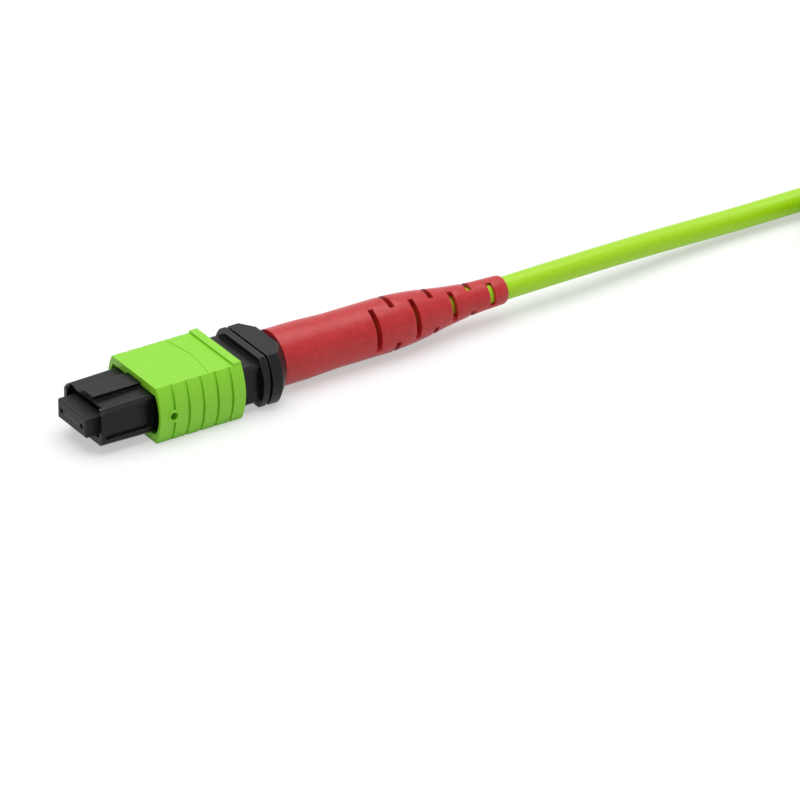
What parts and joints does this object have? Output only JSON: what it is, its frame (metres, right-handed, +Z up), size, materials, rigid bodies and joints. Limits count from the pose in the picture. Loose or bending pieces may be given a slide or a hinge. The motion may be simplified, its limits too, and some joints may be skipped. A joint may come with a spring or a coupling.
{
  "type": "mpo fibre connector",
  "caption": "Multi-fibre push-on plug with a key, sliding lime coupling sleeve, floating ferrule and red bend relief, on round trunk cable folded in a tied hank.",
  "frame": {"origin": "centre of the plug's footprint, on the surface it lies on, halfway between the ferrule's end face and the end of the boot", "axes": "+X along the plug from the ferrule to the cable, +Z up on the key side, +Y to the left seen from the cable"},
  "size_m": [0.1891, 0.0325, 0.0143],
  "materials": {
    "ferrule_grey": "fine satin, glass filled",
    "glass_fibre": "polished ends",
    "soft_insert": "matt",
    "spring_steel": "drawn wire and sheet",
    "black_plastic": "fine satin",
    "lime_plastic": "fine spark-eroded satin",
    "aramid": "yarn",
    "crimp_metal": "plain",
    "red_rubber": "satin",
    "lime_jacket": "satin jacket",
    "tie_fabric": "hook-and-loop"
  },
  "bodies": {
    "plug_body": {"inner_housing": "black_plastic", "spring_push": "black_plastic", "main_spring": "spring_steel", "coupling_spring_left": "spring_steel", "coupling_spring_right": "spring_steel", "strength_yarn": "aramid", "crimp_ring": "crimp_metal", "boot": "red_rubber", "jacket_end": "lime_jacket", "far_inner_housing": "black_plastic", "far_spring_push": "black_plastic", "far_main_spring": "spring_steel", "far_coupling_spring_left": "spring_steel", "far_coupling_spring_right": "spring_steel", "far_strength_yarn": "aramid", "far_crimp_ring": "crimp_metal", "far_boot": "red_rubber", "far_jacket_end": "lime_jacket", "cable": "lime_jacket", "cable_hank": "lime_jacket", "hank_tie": "tie_fabric", "cable_tail": "lime_jacket"},
    "ferrule": {"mt_ferrule": "ferrule_grey", "fibre_ribbon": "glass_fibre", "ferrule_boot": "soft_insert", "pin_keeper": "spring_steel"},
    "sleeve": {"coupling_sleeve": "lime_plastic"},
    "far_ferrule": {"far_mt_ferrule": "ferrule_grey", "far_fibre_ribbon": "glass_fibre", "far_ferrule_boot": "soft_insert", "far_pin_keeper": "spring_steel"},
    "far_sleeve": {"far_coupling_sleeve": "lime_plastic"}
  },
  "joints": [
    {"name": "ferrule_float", "type": "slide", "parent": "plug_body", "child": "ferrule", "axis": [1, 0, 0], "range_m": [0, 0.0008], "stiffness_N_per_m": 600, "deforming": ["main_spring"]},
    {"name": "sleeve_slide", "type": "slide", "parent": "plug_body", "child": "sleeve", "axis": [1, 0, 0], "range_m": [0, 0.0024], "stiffness_N_per_m": 400, "deforming": ["coupling_spring_left", "coupling_spring_right"]},
    {"name": "far_ferrule_float", "type": "slide", "parent": "plug_body", "child": "far_ferrule", "axis": [1, 0, 0], "range_m": [0, 0.0008], "stiffness_N_per_m": 600, "deforming": ["far_main_spring"]},
    {"name": "far_sleeve_slide", "type": "slide", "parent": "plug_body", "child": "far_sleeve", "axis": [1, 0, 0], "range_m": [0, 0.0024], "stiffness_N_per_m": 400, "deforming": ["far_coupling_spring_left", "far_coupling_spring_right"]}
  ]
}
